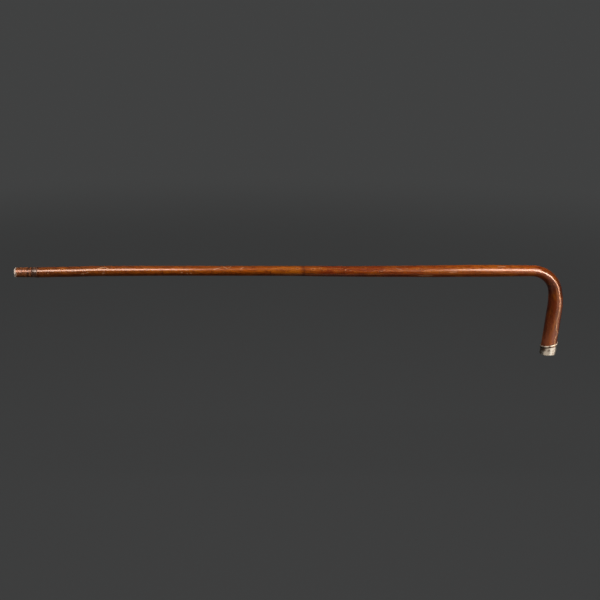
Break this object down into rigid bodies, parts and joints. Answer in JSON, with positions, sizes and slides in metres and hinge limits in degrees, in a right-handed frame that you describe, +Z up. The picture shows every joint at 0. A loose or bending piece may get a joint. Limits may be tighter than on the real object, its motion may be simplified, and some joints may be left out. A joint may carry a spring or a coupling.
{
  "type": "walking cane",
  "caption": "Bentwood walking cane whose shaft swells and bends into an L-shaped handle, with a slanted silver nose cap, a turned metal ferrule and a dark collar above it.",
  "frame": {"origin": "centre of the ferrule's flat ground face, mount ground_tip", "axes": "+X along the shaft from the ground face towards the handle, +Z up with the handle hanging down towards -Z, Y across the cane, which is the same on both sides of the XZ plane"},
  "size_m": [0.9031, 0.0278, 0.1549],
  "materials": {
    "wood": "red-brown varnish, glossy, worn and scratched",
    "silver": "worn polished silver with small dents",
    "ferrule_metal": "copper-brown, rubbed",
    "tip_metal": "pale where the ground has worn it",
    "horn": "polished dark horn",
    "filling": "dull pitch"
  },
  "bodies": {
    "root": {"stick": "wood", "ferrule_tip": "tip_metal", "ferrule_sleeve": "ferrule_metal", "tip_collar": "horn", "cap_band": "silver", "cap_bead": "silver", "cap_end": "silver", "cap_filling": "filling"}
  },
  "joints": []
}
